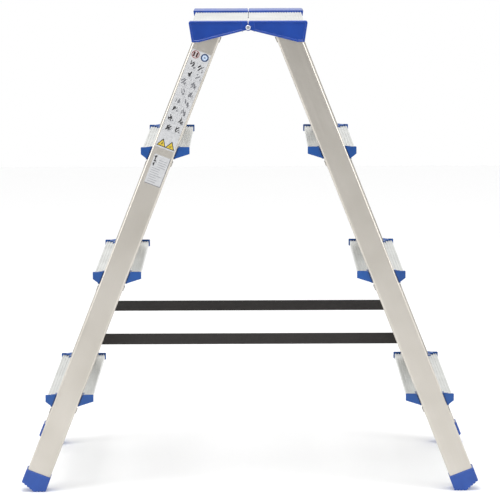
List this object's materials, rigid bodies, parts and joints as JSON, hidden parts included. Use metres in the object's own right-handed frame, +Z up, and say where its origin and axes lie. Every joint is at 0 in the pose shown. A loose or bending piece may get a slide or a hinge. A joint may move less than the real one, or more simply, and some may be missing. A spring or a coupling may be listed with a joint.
{
  "type": "folding step ladder",
  "caption": "Double-sided folding step ladder with ribbed treads on leaning channel stiles, a split top platform on a hinge and webbing spreader straps.",
  "frame": {"origin": "on the floor, midway between the four feet", "axes": "+Z up, +X fore and aft from the left frame towards the right frame, +Y across the width from the labelled side"},
  "size_m": [0.8472, 0.4352, 0.872],
  "materials": {
    "stile_aluminium": "satin extruded",
    "tread_aluminium": "bright extruded, ribbed",
    "bracket_plastic": "satin moulded",
    "foot_plastic": "satin moulded",
    "fastener_steel": "zinc plated",
    "webbing": "plain woven",
    "rivet_aluminium": "dull",
    "hinge_steel": "bright zinc",
    "label_film": "printed film"
  },
  "bodies": {
    "left_frame": {"hinge_pin_far": "hinge_steel", "hinge_pin_near": "hinge_steel", "info_label": "label_film", "left_foot_far": "foot_plastic", "left_foot_near": "foot_plastic", "left_platform_bracket_far": "bracket_plastic", "left_platform_bracket_near": "bracket_plastic", "left_platform_plank": "tread_aluminium", "left_platform_rivets": "rivet_aluminium", "left_step_bracket_1_far": "bracket_plastic", "left_step_bracket_1_near": "bracket_plastic", "left_step_bracket_2_far": "bracket_plastic", "left_step_bracket_2_near": "bracket_plastic", "left_step_bracket_3_far": "bracket_plastic", "left_step_bracket_3_near": "bracket_plastic", "left_step_rivets": "rivet_aluminium", "left_stile_far": "stile_aluminium", "left_stile_near": "stile_aluminium", "left_strap_rivets": "fastener_steel", "left_strap_washers": "fastener_steel", "left_tread_1": "tread_aluminium", "left_tread_2": "tread_aluminium", "left_tread_3": "tread_aluminium", "rating_label": "label_film", "strap_far": "webbing", "strap_near": "webbing"},
    "right_frame": {"right_foot_far": "foot_plastic", "right_foot_near": "foot_plastic", "right_platform_bracket_far": "bracket_plastic", "right_platform_bracket_near": "bracket_plastic", "right_platform_plank": "tread_aluminium", "right_platform_rivets": "rivet_aluminium", "right_step_bracket_1_far": "bracket_plastic", "right_step_bracket_1_near": "bracket_plastic", "right_step_bracket_2_far": "bracket_plastic", "right_step_bracket_2_near": "bracket_plastic", "right_step_bracket_3_far": "bracket_plastic", "right_step_bracket_3_near": "bracket_plastic", "right_step_rivets": "rivet_aluminium", "right_stile_far": "stile_aluminium", "right_stile_near": "stile_aluminium", "right_strap_rivets": "fastener_steel", "right_strap_washers": "fastener_steel", "right_tread_1": "tread_aluminium", "right_tread_2": "tread_aluminium", "right_tread_3": "tread_aluminium"}
  },
  "joints": [
    {"name": "fold", "type": "hinge", "parent": "left_frame", "child": "right_frame", "pos_m": [0, 0, 0.86], "axis": [0, 1, 0], "range_deg": [0, 44], "deforming": ["strap_near", "strap_far"]}
  ]
}
